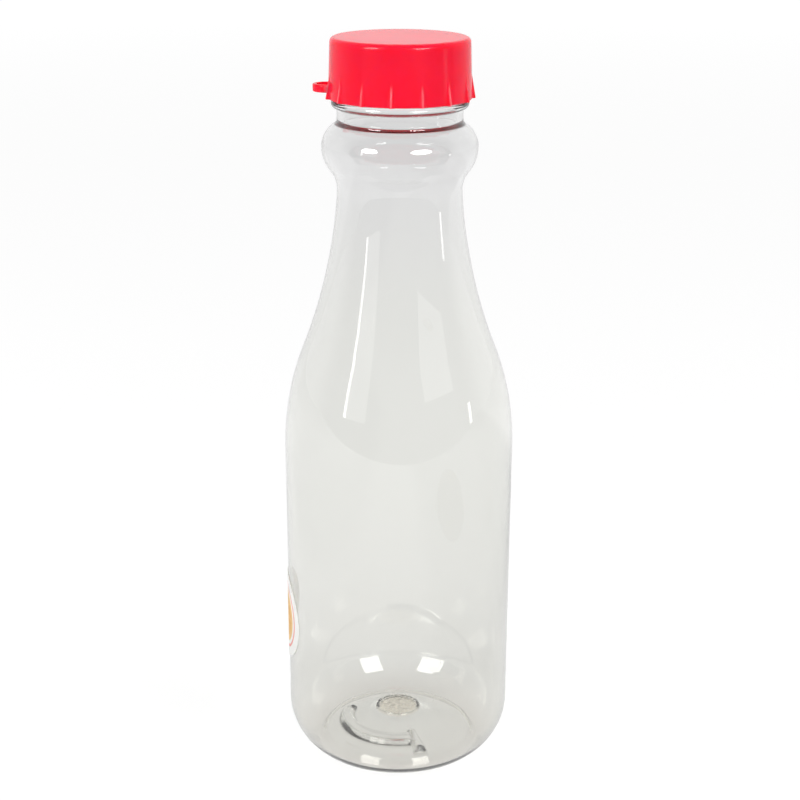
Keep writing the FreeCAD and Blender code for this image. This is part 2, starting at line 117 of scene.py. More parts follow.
CAP_BORE = 19.2
CAP_HIGH_RADIUS = 20.15
CAP_LOW_RADIUS = 20.7
CAP_HEM = 203.8
CAP_TOP = 221.1
CAP_EDGE = 1.3
CAP_HEM_ROUND = 0.2
CAP_INNER_ROUND = 0.3
CAP_GAP = 0.02                  # between the lip and the cap's underside
FINS = 15
FIN_BEARING = -0.75
FIN_HIGHLIGHT_HEIGHT = 5.0           # the fins carry a painted highlight up to here, over the hem
RING_RADIUS = 4.0
RING_CENTRE = CAP_LOW_RADIUS + 0.4
RING_ROOT = CAP_BORE + 0.2
RING_BAND = 1.1
RING_HEIGHT = 2.2
RING_FOOT = CAP_HEM + 1.8

LABEL_RADIUS = 14.0
LABEL_HEIGHT = 43.8
LABEL_BEARING = 184.0
LABEL_THICKNESS = 0.12
LABEL_EDGE = 0.03
LABEL_GAP = 0.05
PRINTED_DISC = 9.0
PRINTED_RING = (10.2, 11.0)
FRUIT_SLICES = 8
FRUIT_FLESH = (1.6, 7.2)        # from and to which radius the slices are darker

# ---------------------------------------------------------------- the studio

CAMERA_PLACE = (0.0003, -0.5165, 0.2806)
CAMERA_TILT = 71.98
CAMERA_ROLL = 0.218
LENS = 80.8
FILM = 36.0
TABLE_TOP = -0.0004
TABLE_HALF = 4.0
TABLE_FRONT = -0.47             # how far the table reaches in a reflection
TABLE_WHITE = (0.85, 0.85, 0.85, 1.0)
TABLE_SEEN = 1.08               # brightness for the camera, at the bottle,
TABLE_FADED = 1.28              # and as far off as the next distance
TABLE_FADE = 2.4
TABLE_GLOW = (0.7, 0.6)         # how much of it glows for the camera, and for plastic
TABLE_DARK_RIGHT = 0.4          # how much darker its right side shows in plastic
TABLE_BRIGHT_BACK = 0.2         # how much brighter gloss mirrors it behind the bottle
SQUARE = ((-1, -1), (1, -1), (1, 1), (-1, 1))
CARD_FAR = (0.45, 0.0)          # a card's ends: distance from the axis, and height
CARD_NEAR = (0.10, 0.0885)
CARD_FOCUS = 0.03               # a card's sides meet this far behind the axis
BULB_LEVEL = 0.187              # the height that the lamps for the bulb's gloss face
SEEN_THROUGH = 0.865            # brightness of the room as plastic shows it, where 1 is white
ROOM_FRONT = 0.55               # brightness of the room as gloss mirrors it, in front,
ROOM_BACK = 1.15                # and behind the bottle
ROOM_SEEN = 1.3                 # makes the room's plain grey white for the camera
ROOM_LIGHT = 0.55               # what it adds to the lamps on dull surfaces
BACK_WALL = 3.5                 # light that shows in the back wall has met more faces than this
WATTS_PER_AREA = 4.0            # a lamp's watts for each square metre and unit of radiance


# ---------------------------------------------------------------- node trees

class Value:
    """A socket's number, in which Python's operators add Math nodes."""

    def __init__(self, socket):
        self.socket = socket

    def work(self, operation, *numbers):
        """A Math node on these numbers, in this value's tree."""
        return Tree(self.socket.id_data).node(
            "ShaderNodeMath", {"operation": operation}, dict(enumerate(numbers))
        )

    def math(self, operation, *others):
        """A Math node on this value, and any others after it."""
        return self.work(operation, self, *others)

    def other(self, name):
        """Another output of the same node."""
        return Value(self.socket.node.outputs[name])

    def __add__(self, other):
        return self.math("ADD", other)

    __radd__ = __add__

    def __sub__(self, other):
        return self.math("SUBTRACT", other)

    def __rsub__(self, other):
        return self.work("SUBTRACT", other, self)

    def __mul__(self, other):
        return self.math("MULTIPLY", other)

    __rmul__ = __mul__

    def __truediv__(self, other):
        return self.math("DIVIDE", other)

    def __rtruediv__(self, other):
        return self.work("DIVIDE", other, self)

    def __mod__(self, other):
        return self.math("FLOORED_MODULO", other)

    def __pow__(self, other):
        return self.math("POWER", other)

    def __abs__(self):
        return self.math("ABSOLUTE")

    def degrees(self):
        return self * (180 / math.pi)

    def radians(self):
        return self * (math.pi / 180)

    def held(self):
        """The value, kept from nought to one."""
        return self.math("MAXIMUM", 0.0).math("MINIMUM", 1.0)

    def rise(self, place, edge):
        """Goes smoothly from nought to one, half an edge to each side of a place."""
        start = place - edge * 0.5
        return Tree(self.socket.id_data).node(
            "ShaderNodeMapRange", {"interpolation_type": "SMOOTHSTEP"},
            {"Value": self, "From Min": start, "From Max": start + edge},
        )

    def between(self, low, high, edge):
        """One inside the two bounds and nought outside them, with soft edges."""
        return self.rise(low, edge) * (1 - self.rise(high, edge))


class Tree:
    """A shader or geometry tree, with one method that adds any node."""

    def __init__(self, tree):
        self.tree = tree

    def node(self, kind, settings=None, sockets=None, output=0):
        """Adds a node; a ramp's stops are (place, colour) pairs among its settings."""
        made = self.tree.nodes.new(kind)
        settings = dict(settings or {})
        stops = settings.pop("stops", ())
        for name, setting in settings.items():
            setattr(made, name, setting)
        for number, (place, colour) in enumerate(stops):
            ramp = made.color_ramp.elements
            stop = ramp[number] if number < 2 else ramp.new(place)
            stop.position = place
            stop.color = (*colour, 1.0)
        for name, value in (sockets or {}).items():
            if isinstance(value, Value):
                self.tree.links.new(value.socket, made.inputs[name])
            else:
                made.inputs[name].default_value = value
        return Value(made.outputs[output]) if made.outputs else made

    def mix(self, share, first, second):
        """Mixes two colours."""
        return self.node(
            "ShaderNodeMix", {"data_type": "RGBA"}, {0: share, 6: first, 7: second}, output=2
        )

    def noise(self, place, scale, detail):
        return self.node(
            "ShaderNodeTexNoise", sockets={"Vector": place, "Scale": scale, "Detail": detail}
        )

    def light_path(self):
        """Whether the camera sees this light, whether plastic does, and if gloss turned it."""
        camera = self.node("ShaderNodeLightPath", output="Is Camera Ray")
        plastic = camera.other("Is Glossy Ray").math(
            "MAXIMUM", camera.other("Is Transmission Ray")
        )
        return camera, plastic, camera.other("Glossy Depth").math("MINIMUM", 1.0)


def hypotenuse(x, y):
    """How far a place is from nought, from its two coordinates."""
    return (x * x + y * y).math("SQRT")


def off_nearest(bearing, pitch):
    """How far a bearing is from the nearest of some that a pitch repeats."""
    return abs((bearing + pitch * 0.5) % pitch - pitch * 0.5)


def rib_depth(radius, bearing, inner, outer, middle, half):
    """How far inside a rib's edge a place is; less than nought outside the rib."""
    away = (bearing - middle + 180) % 360 - 180
    aside = (abs(away) - half).radians() * radius
    return (radius - inner).math("MINIMUM", outer - radius).math("MINIMUM", 0 - aside)


def highest(values):
    """The highest of some values."""
    most = values[0]
    for value in values[1:]:
        most = most.math("MAXIMUM", value)
    return most


def new_material(name):
    """An empty material, and its tree."""
    material = bpy.data.materials.new(name)
    material.use_nodes = True
    material.node_tree.nodes.clear()
    return material, Tree(material.node_tree)


def new_object(name, data):
    """An object in the scene, at the origin."""
    made = bpy.data.objects.new(name, data)
    bpy.context.scene.collection.objects.link(made)
    return made


class Shape:
    """A Geometry Nodes tree with named sizes."""

    def __init__(self, name, sizes):
        self.group = bpy.data.node_groups.new(name, "GeometryNodeTree")
        self.tree = Tree(self.group)
        face = self.group.interface
        face.new_socket("Outline", in_out="INPUT", socket_type="NodeSocketGeometry")
        for size, value in sizes.items():
            kind = "NodeSocketInt" if isinstance(value, int) else "NodeSocketFloat"
            face.new_socket(size, in_out="INPUT", socket_type=kind)
        face.new_socket("Shape", in_out="OUTPUT", socket_type="NodeSocketGeometry")
        self.sizes = sizes
        self.inputs = self.tree.node("NodeGroupInput")

    def size(self, name):
        return self.inputs.other(name)

    def finish(self, geometry, material):
        """Ends the tree: everything real, smooth, and of one material."""
        node = self.tree.node
        smooth = node("GeometryNodeSetShadeSmooth", sockets={0: geometry})
        real = node("GeometryNodeRealizeInstances", sockets={0: smooth})
        dressed = node("GeometryNodeSetMaterial", sockets={0: real, "Material": material})
        node("NodeGroupOutput", sockets={0: dressed})

    def make(self, name, outline, marks=None):
        """Runs the tree on an outline of points and returns the plain mesh piece."""
        source = bpy.data.meshes.new(name + "_outline")
        source.from_pydata([(across * MM, 0.0, up * MM) for across, up in outline], [], [])
        for mark, values in (marks or {}).items():
            source.attributes.new(mark, "FLOAT", "POINT").data.foreach_set("value", values)
        holder = new_object(name + "_holder", source)
        modifier = holder.modifiers.new("shape", "NODES")
        modifier.node_group = self.group
        for item in self.group.interface.items_tree:
            if item.in_out == "INPUT" and item.name in self.sizes:
                modifier[item.identifier] = self.sizes[item.name]
        made = holder.evaluated_get(bpy.context.evaluated_depsgraph_get())
        mesh = bpy.data.meshes.new_from_object(made)
        mesh.name = name
        bpy.data.objects.remove(holder)
        mesh.set_sharp_from_angle(angle=math.radians(SHARP_ANGLE))
        return new_object(name, mesh)

    def turned(self):
        """Adds a grid with a column for each bearing and a row for each point of the outline.

        Returns it with the radius and height of its points in metres, their bearing in
        radians and the number of the outline's point that each follows.
        """
        node = self.tree.node
        rows = node("GeometryNodeAttributeDomainSize", {"component": "MESH"}, {0: self.inputs})
        columns = self.size("Segments") + 1
        grid = node("GeometryNodeMeshGrid", sockets={"Vertices X": columns, "Vertices Y": rows})
        index = node("GeometryNodeInputIndex")
        row = index % rows
        bearing = (index / rows).math("FLOOR") * math.tau / self.size("Segments")
        place = self.sampled("FLOAT_VECTOR", node("GeometryNodeInputPosition"), row)
        across = node("ShaderNodeSeparateXYZ", sockets={0: place})
        return grid, across, across.other("Z"), bearing, row

    def sampled(self, kind, value, row):
        """A value of the outline's point with this number."""
        return self.tree.node(
            "GeometryNodeSampleIndex", {"data_type": kind, "domain": "POINT"},
            {"Geometry": self.inputs, "Value": value, "Index": row},
        )

    def marked(self, mark, row):
        """What the outline's point with this number carries under a name."""
        value = self.tree.node(
            "GeometryNodeInputNamedAttribute", {"data_type": "FLOAT"}, {"Name": mark}
        )
        return self.sampled("FLOAT", value, row)

    def placed(self, grid, across, up, bearing):
        """Puts the grid's points in place, and closes its seam and poles."""
        node = self.tree.node
        place = node(
            "ShaderNodeCombineXYZ", sockets={
                "X": across * bearing.math("COSINE"), "Y": across * bearing.math("SINE"),
                "Z": up,
            },
        )
        moved = node("GeometryNodeSetPosition", sockets={"Geometry": grid, "Position": place})
        return node("GeometryNodeMergeByDistance", sockets={"Geometry": moved, "Distance": WELD})


# ---------------------------------------------------------------- outlines

def step(start, angle, length):
    """The point that lies a length away, at an angle in radians."""
    return start[0] + length * math.cos(angle), start[1] + length * math.sin(angle)


def bearing_of(start, end):
    return math.atan2(end[1] - start[1], end[0] - start[0])


def line(start, end, spacing):
    """Points along a straight run, without the last."""
    count = max(1, round(math.dist(start, end) / spacing))
    return [
        (start[0] + (end[0] - start[0]) * n / count, start[1] + (end[1] - start[1]) * n / count)
        for n in range(count)
    ]


def arc(centre, radius, first, last, spacing):
    """Points round an arc, without the last."""
    count = max(2, round(abs(last - first) * radius / spacing))
    return [step(centre, first + (last - first) * n / count, radius) for n in range(count)]


def circles_meet(first, first_radius, second, second_radius):
    """Where two circles meet, on the right-hand side going from the first to the second."""
    apart = math.dist(first, second)
    along = (apart ** 2 + first_radius ** 2 - second_radius ** 2) / (2 * apart)
    return step(first, bearing_of(first, second) - math.acos(along / first_radius), first_radius)


def rounded(corners, spacing):
    """Points along straight runs whose corners are rounded; each corner is (point, radius)."""
    outline = []
    here = corners[0][0]
    for (before, _), (corner, radius), (after, _) in zip(corners, corners[1:], corners[2:]):
        back, ahead = bearing_of(corner, before), bearing_of(corner, after)
        half = (ahead - back + math.pi) % math.tau - math.pi
        reach = radius / abs(math.tan(half / 2))
        start = step(corner, back, reach)
        centre = step(corner, back + half / 2, radius / abs(math.sin(half / 2)))
        turn = -math.copysign(math.pi - abs(half), half)
        outline += line(here, start, spacing)
        first = bearing_of(centre, start)
        round_spacing = max(radius * CORNER_SPACING, FINEST_SPACING)
        outline += arc(centre, radius, first, first + turn, round_spacing)
        here = step(corner, ahead, reach)
    return outline + line(here, corners[-1][0], spacing) + [corners[-1][0]]


def with_neighbours(outline):
    """Each point of an outline, between the one before it and the one after it."""
    return zip([outline[0]] + outline, outline, outline[1:] + outline[-1:])


def eased(outline, first, last, passes):
    """The outline with the bends of its base softened between two distances from the axis."""
    for _ in range(passes):
        outline = [
            ((before[0] + 2 * here[0] + after[0]) / 4, (before[1] + 2 * here[1] + after[1]) / 4)
            if first < here[0] < last and here[1] < BASE_TOP else here
            for before, here, after in with_neighbours(outline)
        ]
    return outline


def set_in(outline):
    """The outline moved inwards, square to itself, by the base's wall and then the heel's."""
    moved = []
    for before, here, after in with_neighbours(outline):
        share = min(max((here[0] - BASE_WALL_REACH) / BASE_WALL_FADE, 0.0), 1.0)
        depth = BASE_WALL + (WALL - BASE_WALL) * share * share * (3 - 2 * share)
        moved.append(step(here, bearing_of(before, after) + math.pi / 2, depth))
    return moved


def bottle_side(skin, floor, neck):
    """One face of the bottle, from the axis out over the base and up to the neck's crease.

    It is set in from the outside by the skin, the floor and the neck's wall. The crease's
    last point comes with it.
    """
    low = (BODY_RADIUS - BODY_DRAFT - skin, HEEL_HEIGHT)
    high = (BODY_RADIUS - skin, BODY_HEIGHT)
    inward = bearing_of(low, high) + math.pi / 2
    heel = step(low, inward, HEEL_ROUND - skin)
    shoulder = step(high, inward, SHOULDER_ROUND - skin)
    waist = (WAIST_RADIUS + WAIST_ROUND, WAIST_HEIGHT)
    throat = circles_meet(
        shoulder, SHOULDER_ROUND + THROAT_ROUND, waist, THROAT_ROUND - WAIST_ROUND
    )

    foot_round = FOOT_ROUND - floor
    reach = math.sqrt((HEEL_ROUND - skin - foot_round) ** 2 - (heel[1] - FOOT_ROUND) ** 2)
    outer_foot = (heel[0] + reach, FOOT_ROUND)
    inner_foot = (outer_foot[0] - FOOT_LAND, FOOT_ROUND)
    gate = (GATE_RADIUS + floor, GATE_HEIGHT + floor)
    panel_top = (gate[0] + GATE_DRAFT, gate[1] - GATE_STEP)
    panel_edge = (inner_foot[0] - PANEL_INSET + floor, PANEL_HEIGHT + floor)
    span, fall = panel_edge[0] - panel_top[0], panel_top[1] - panel_edge[1]
    side_turn = bearing_of(inner_foot, panel_edge)
    side_turn += math.acos(foot_round / math.dist(inner_foot, panel_edge))
    side_foot = step(inner_foot, side_turn, foot_round)

    bulge = BULB_RADIUS - WAIST_RADIUS
    rise = BULB_HEIGHT - WAIST_HEIGHT
    flare_round = (bulge ** 2 + rise ** 2) / (2 * bulge) - BULB_LOW_ROUND + skin
    flare = (WAIST_RADIUS - skin + flare_round, WAIST_HEIGHT)
    bulb_low = (BULB_RADIUS - BULB_LOW_ROUND, BULB_HEIGHT)
    bulb_high = (BULB_RADIUS - BULB_HIGH_ROUND, BULB_HEIGHT)
    low_round = BULB_LOW_ROUND - skin
    high_round = BULB_HIGH_ROUND - skin
    crease_across = NECK_RADIUS - neck + CREASE_ROUND
    crease_turn = math.acos((crease_across - bulb_high[0]) / (high_round + CREASE_ROUND))
    crease = step(bulb_high, crease_turn, high_round + CREASE_ROUND)

    panel = [
        (
            panel_top[0] + span * n / PANEL_POINTS,
            panel_edge[1] + fall * (1 - n / PANEL_POINTS) ** PANEL_BEND,
        )
        for n in range(PANEL_POINTS)
    ]
    base = (
        line((0.0, gate[1]), gate, spacing=0.8)
        + line(gate, panel_top, spacing=0.2)
        + panel
        + line(panel_edge, side_foot, spacing=0.5)
        + arc(inner_foot, foot_round, side_turn, math.radians(270), spacing=0.3)
        + line((inner_foot[0], floor), (outer_foot[0], floor), spacing=0.3)
        + arc(
            outer_foot, foot_round, math.radians(-90), bearing_of(heel, outer_foot), spacing=0.3
        )
    )
    body = (
        arc(
            heel, HEEL_ROUND - skin, bearing_of(heel, outer_foot), inward - math.pi, spacing=1.0
        )
        + line(low, high, spacing=3.0)
        + arc(
            shoulder, SHOULDER_ROUND - skin, bearing_of(shoulder, high),
            bearing_of(shoulder, throat), spacing=2.2,
        )
        + arc(
            throat, THROAT_ROUND + skin, bearing_of(throat, shoulder),
            bearing_of(throat, waist), spacing=2.6,
        )
        + arc(waist, WAIST_ROUND + skin, bearing_of(throat, waist), -math.pi, spacing=2.0)
    )
    bulb = (
        arc(flare, flare_round, math.pi, bearing_of(flare, bulb_low), spacing=0.8)
        + arc(bulb_low, low_round, bearing_of(bulb_low, flare), 0.0, spacing=0.85)
        + arc(bulb_high, high_round, 0.0, crease_turn, spacing=0.85)
        + arc(crease, CREASE_ROUND, crease_turn - math.pi, -math.pi, spacing=0.2)
    )
    return base + body + bulb, (crease[0] - CREASE_ROUND, crease[1])


def bottle_outline():
    """The bottle's section, from the axis under the base to the axis inside it.

    The number of its points on the outer face comes with it, and the number of the first
    point on the inner face.
    """
    outside, foot = bottle_side(0.0, 0.0, 0.0)
    inside, inner_foot = bottle_side(WALL, BASE_WALL, NECK_WALL)
    outside = eased(outside, 0.0, GATE_REACH, GATE_EASING)
    inside = eased(inside, 0.0, GATE_REACH, GATE_EASING)
    outside = eased(outside, GATE_REACH, PANEL_REACH, PANEL_EASING)
    base = next(n for n, (_, up) in enumerate(outside) if up > HEEL_HEIGHT - JOIN_GAP)
    panel = [point for point in set_in(outside)[:base] if point[0] > GATE_INSIDE]
    near = next(n for n, (across, _) in enumerate(inside) if across > panel[0][0] - JOIN_GAP)
    far = next(n for n, (_, up) in enumerate(inside) if up > HEEL_HEIGHT - JOIN_GAP / 2)
    inside = inside[:near] + panel + inside[far:]

    bead = (NECK_RADIUS + BEAD_DEPTH, BEAD_TOP - BEAD_HEIGHT)
    neck = rounded(
        [
            (foot, 0.0),
            ((NECK_RADIUS, bead[1]), UNDER_BEAD_ROUND), (bead, BEAD_ROUND),
            ((bead[0], BEAD_TOP), BEAD_ROUND), ((NECK_RADIUS, BEAD_TOP), OVER_BEAD_ROUND),
            ((NECK_RADIUS, LIP_HEIGHT), LIP_ROUND), ((inner_foot[0], LIP_HEIGHT), LIP_ROUND),
            (inner_foot, 0.0),
        ],
        spacing=1.5,
    )
    outline = outside + neck + inside[::-1]
    return outline, len(outside), len(outline) - len(inside)


def cap_outline():
    """The cap's section, from the axis under its top, round its hem, to the axis on top."""
    under = LIP_HEIGHT + CAP_GAP
    return rounded(
        [
            ((0.0, under), 0.0), ((CAP_BORE, under), CAP_INNER_ROUND),
            ((CAP_BORE, CAP_HEM), CAP_HEM_ROUND), ((CAP_LOW_RADIUS, CAP_HEM), CAP_HEM_ROUND),
            ((CAP_HIGH_RADIUS, CAP_TOP), CAP_EDGE), ((0.0, CAP_TOP), 0.0),
        ],
        spacing=0.5,
    )


def label_outline():
    """The label's section as it lies flat, from the middle of its back to that of its front."""
    return rounded(
        [
            ((0.0, 0.0), 0.0), ((LABEL_RADIUS, 0.0), LABEL_EDGE),
            ((LABEL_RADIUS, LABEL_THICKNESS), LABEL_EDGE), ((0.0, LABEL_THICKNESS), 0.0),
        ],
        spacing=0.6,
    )


def ring_path():
    """The middle of the pull ring's band, out from the cap's wall, round, and back."""
    mid = RING_RADIUS - RING_BAND / 2
    path = line((RING_ROOT, -mid), (RING_CENTRE, -mid), spacing=0.5)
    path += arc((RING_CENTRE, 0.0), mid, -math.pi / 2, math.pi / 2, spacing=0.35)
    path += line((RING_CENTRE, mid), (RING_ROOT, mid), spacing=0.5) + [(RING_ROOT, mid)]
    return [(-across, -aside) for across, aside in path]


# ---------------------------------------------------------------- materials

CLEAR_TINTS_AND_BASE_SHADE = (                 # share of the bottle's height, and the plastic's colour there: darker and warmer towards the base, partly the thick plastic's own tint and partly painted shade of the shaded floor seen through the base
    (0.0, (0.875, 0.855, 0.82)), (0.045, (0.895, 0.895, 0.87)), (0.12, (0.915, 0.915, 0.89)),
    (0.20, (0.945, 0.945, 0.925)), (0.32, (0.965, 0.967, 0.942)), (0.48, (0.990, 0.992, 0.970)),
    (0.65, (0.996, 0.998, 0.980)), (0.82, (1.0, 1.0, 1.0)), (1.0, (0.998, 0.998, 0.996)),
)
GATE_TINT = (0.88, 0.82, 0.70, 1.0)
# painted shade along the ribs' flanks, standing in for the dark edges that the ribs' refraction
# shows
RIB_PAINTED_SHADE = (0.36, 0.34, 0.30, 1.0)
GATE_TINTED, RIB_SHADE_SHARE = 0.9, 0.3      # shares
CLEAR_SHADOW = (0.89, 0.89, 0.88, 1.0)
CLEAR_INDEX = 1.575
CLEAR_ROUGH, RUBBED_ROUGH, PITTED_ROUGH, RIB_ROUGH = 0.015, 0.03, 0.3, 0.1

REDS = (0.93, 0.004, 0.03, 1.0), (0.97, 0.008, 0.038, 1.0)
# painted highlight colour for the fins' crests
FIN_HIGHLIGHT_PINK = (0.98, 0.20, 0.24, 1.0)
FIN_HIGHLIGHT_SHARE = 0.55
RED_INDEX = 1.5
RED_SPECULAR = 0.19
RED_ROUGH, CLOUD_ROUGH = 0.14, 0.06

WHITES = (0.86, 0.83, 0.78, 1.0), (0.91, 0.88, 0.84, 1.0)
ORANGES = (0.80, 0.47, 0.17, 1.0), (0.73, 0.38, 0.10, 1.0)
CORAL = (0.83, 0.28, 0.24, 1.0)
PAPER_INDEX = 1.45
PAPER_ROUGH, FIBRE_ROUGH = 0.4, 0.1

GRAIN_DEPTH = 0.0001            # metres
GRAIN_STRENGTH, FIBRE_STRENGTH = 0.08, 0.1


def coordinates(tree):
    """The Object coordinates, together and one by one."""
    place = tree.node("ShaderNodeTexCoord", output="Object")
    x = tree.node("ShaderNodeSeparateXYZ", sockets={0: place})
    return place, x, x.other("Y"), x.other("Z")


def bearing_at(x, y):
    """The bearing of a place, from 0 to 360 degrees."""
    return y.math("ARCTAN2", x).degrees() % 360


def clear_plastic():
    """Blown polyester: see-through, glossy, a bit rubbed; greyer and warmer towards the base and
    at the thick gate, partly its own tint and partly painted shade, and with painted shade on the
    ribs' flanks.
    """
    material, tree = new_material("clear_plastic")
    node = tree.node
    place, x, y, z = coordinates(tree)
    height, radius, bearing = z / MM, hypotenuse(x, y) / MM, bearing_at(x, y)
    # darker and warmer towards the base: partly the plastic's own tint, partly painted shade
    tint_and_shade = node("ShaderNodeValToRGB", {"stops": CLEAR_TINTS_AND_BASE_SHADE}, {0: height / LIP_HEIGHT})

    gate = (1 - radius.rise(GATE_RADIUS + 0.6, edge=1.0)) * (1 - height.rise(20.0, edge=2.0))
    pits = tree.noise(place, scale=900.0, detail=2.0).rise(0.5, edge=0.3)
    tint_and_shade = tree.mix(gate * GATE_TINTED, tint_and_shade, GATE_TINT)

    low = 1 - height.rise(13.0, edge=1.0)
    ridges = []
    for rib in RIBS.values():
        depth = rib_depth(radius, bearing, *rib)
        # painted shade on each rib's flanks
        flank_shade = depth.between(-0.15, 0.75, edge=0.5) * low
        tint_and_shade = tree.mix(flank_shade * RIB_SHADE_SHARE, tint_and_shade, RIB_PAINTED_SHADE)
        ridges.append(depth.rise(0.0, edge=0.5) * low)

    rub = tree.noise(place, scale=60.0, detail=3.0).rise(0.62, edge=0.16)
    rough = CLEAR_ROUGH + rub * RUBBED_ROUGH + gate * pits * PITTED_ROUGH
    rough = rough + highest(ridges) * RIB_ROUGH
    plastic = node(
        "ShaderNodeBsdfPrincipled", sockets={
            "Base Color": tint_and_shade, "Roughness": rough, "IOR": CLEAR_INDEX,
            "Transmission Weight": 1.0,
        },
    )
    through = node("ShaderNodeBsdfTransparent", sockets={"Color": CLEAR_SHADOW})
    shadow = node("ShaderNodeLightPath", output="Is Shadow Ray")
    both = node("ShaderNodeMixShader", sockets={0: shadow, 1: plastic, 2: through})
    node("ShaderNodeOutputMaterial", sockets={"Surface": both})
    return material


def red_plastic():
    """Moulded red polyethylene: even colour, soft gloss, a faint grain, and a painted highlight
    along the fins near the hem.
    """
    material, tree = new_material("red_plastic")
    node = tree.node
    place, x, y, z = coordinates(tree)
    cloud = tree.noise(place, scale=90.0, detail=2.0)
    grain = tree.noise(place, scale=2500.0, detail=2.0)
    away = off_nearest(bearing_at(x, y) - FIN_BEARING, 360 / FINS)
    # painted highlight along each fin's crest, fading out above the hem
    fin_highlight = 1 - (away * math.radians(CAP_LOW_RADIUS)).rise(0.28, edge=0.3)
    low = 1 - (z / MM).rise(CAP_HEM + FIN_HIGHLIGHT_HEIGHT, edge=3.0)
    colour = tree.mix(fin_highlight * low * FIN_HIGHLIGHT_SHARE, tree.mix(cloud, *REDS), FIN_HIGHLIGHT_PINK)
    bump = node(
        "ShaderNodeBump",
        sockets={"Strength": GRAIN_STRENGTH, "Distance": GRAIN_DEPTH, "Height": grain},
    )
    plastic = node(
        "ShaderNodeBsdfPrincipled", sockets={
            "Base Color": colour, "Roughness": RED_ROUGH + cloud * CLOUD_ROUGH,
            "Normal": bump, "IOR": RED_INDEX, "Specular IOR Level": RED_SPECULAR,
            "Subsurface Weight": 0.8, "Subsurface Radius": (1.0, 0.12, 0.1),
            "Subsurface Scale": 0.003,
        },
    )
    node("ShaderNodeOutputMaterial", sockets={"Surface": plastic})
    return material


def printed_paper():
    """A gloss paper label: a sliced orange disc in a thin coral ring on a white border."""
    material, tree = new_material("paper")
    node = tree.node
    place, x, y, z = coordinates(tree)
    fibre = tree.noise(place, scale=900.0, detail=4.0)
    white = tree.mix(fibre, *WHITES)

    side = y / MM + BODY_RADIUS * math.sin(math.radians(LABEL_BEARING - 180))
    up = z / MM - LABEL_HEIGHT
    reach = hypotenuse(side, up)
    slice_edge = abs(up.math("ARCTAN2", side) * FRUIT_SLICES / math.tau % 1.0 - 0.5)
    flesh = (1 - slice_edge.rise(0.40, edge=0.06)) * reach.between(*FRUIT_FLESH, edge=0.5)
    disc = 1 - reach.rise(PRINTED_DISC, edge=0.5)
    printed = tree.mix(disc, white, tree.mix(flesh, *ORANGES))
    printed = tree.mix(reach.between(*PRINTED_RING, edge=0.3), printed, CORAL)

    wall = BODY_RADIUS - BODY_TAPER * (BODY_HEIGHT - z / MM)
    front = (hypotenuse(x, y) / MM - wall).rise(LABEL_GAP + LABEL_THICKNESS * 0.7, edge=0.02)
    colour = tree.mix(front, white, printed)
    bump = node(
        "ShaderNodeBump",
        sockets={"Strength": FIBRE_STRENGTH, "Distance": GRAIN_DEPTH, "Height": fibre},
    )
    paper = node(
        "ShaderNodeBsdfPrincipled", sockets={
            "Base Color": colour, "Roughness": PAPER_ROUGH + fibre * FIBRE_ROUGH,
            "Normal": bump, "IOR": PAPER_INDEX, "Subsurface Weight": 0.7,
            "Subsurface Radius": (1.0, 0.9, 0.8), "Subsurface Scale": 0.0005,
        },
    )
    node("ShaderNodeOutputMaterial", sockets={"Surface": paper})
    return material


# ---------------------------------------------------------------- pieces

def make_bottle():
    """The blown shell, both faces, with the base's raised ribs and a slight unevenness."""
    outline, outside_count, inside_start = bottle_outline()
    lift, sway = [], []
    for number, (across, up) in enumerate(outline):
        inner = number >= inside_start
        ribbed = inner and RIB_FLOOR[0] < up < RIB_FLOOR[1] and across < RIB_REACH
        uneven = (inner or number < outside_count) and UNEVEN_WALL[0] < up < UNEVEN_WALL[1]
        lift.append(RIB_LIFT * ribbed)
        sway.append(1.0 * uneven)
    sizes = {"Segments": 224, "Rib edge": 1.6, "Unevenness": 0.13, "Ripple": 60.0}
    for rib, values in RIBS.items():
        sizes |= {f"{rib} rib {name}": value for name, value in zip(RIB_MEASURES, values)}
    shape = Shape("turned_bottle", sizes)
    node = shape.tree.node
    grid, across, up, bearing, row = shape.turned()

    ridges = []
    for rib in RIBS:
        measures = [shape.size(f"{rib} rib {name}") for name in RIB_MEASURES]
        depth = rib_depth(across / MM, bearing.degrees(), *measures)
        bent = 1 - (depth / shape.size("Rib edge")).held()
        ridges.append(1 - bent * bent)
    up = up + highest(ridges) * shape.marked("lift", row) * MM

    direction = node(
        "ShaderNodeCombineXYZ", sockets={
            "X": bearing.math("COSINE") * RIPPLE_RADIUS,
            "Y": bearing.math("SINE") * RIPPLE_RADIUS, "Z": up,
        },
    )
    ripple = shape.tree.noise(direction, scale=shape.size("Ripple"), detail=2.0)
    dent = ripple * shape.marked("sway", row) * shape.size("Unevenness") * MM
    shape.finish(shape.placed(grid, across - dent, up, bearing), clear_plastic())
    return shape.make("clear_bottle", outline, {"lift": lift, "sway": sway})


def make_cap(material):
    """The cap's shell with its tapered fins."""
    sizes = {
        "Segments": 480, "Fins": float(FINS), "Fin height": 7.0, "Fin depth": 1.0,
        "Fin width": 2.8, "Fin tip": 0.5, "Fin bearing": FIN_BEARING, "Hem height": CAP_HEM,
        "Wall": CAP_BORE + 0.6,
    }
    shape = Shape("finned_cap", sizes)
    size = shape.size
    grid, across, up, bearing, _ = shape.turned()
    away = off_nearest(bearing.degrees() - size("Fin bearing"), 360 / size("Fins"))
    away = away.radians() * (across / MM)
    left = (1 - (up / MM - size("Hem height")) / size("Fin height")).held()
    half = size("Fin tip") * 0.5 + (size("Fin width") - size("Fin tip")) * 0.5 * left
    ridge = ((half - away) / (half - size("Fin tip") * 0.4)).held() ** 2
    outer = (across / MM).rise(size("Wall"), edge=0.3)
    across = across + ridge * left * outer * size("Fin depth") * MM
    shape.finish(shape.placed(grid, across, up, bearing), material)
    return shape.make("red_cap", cap_outline())


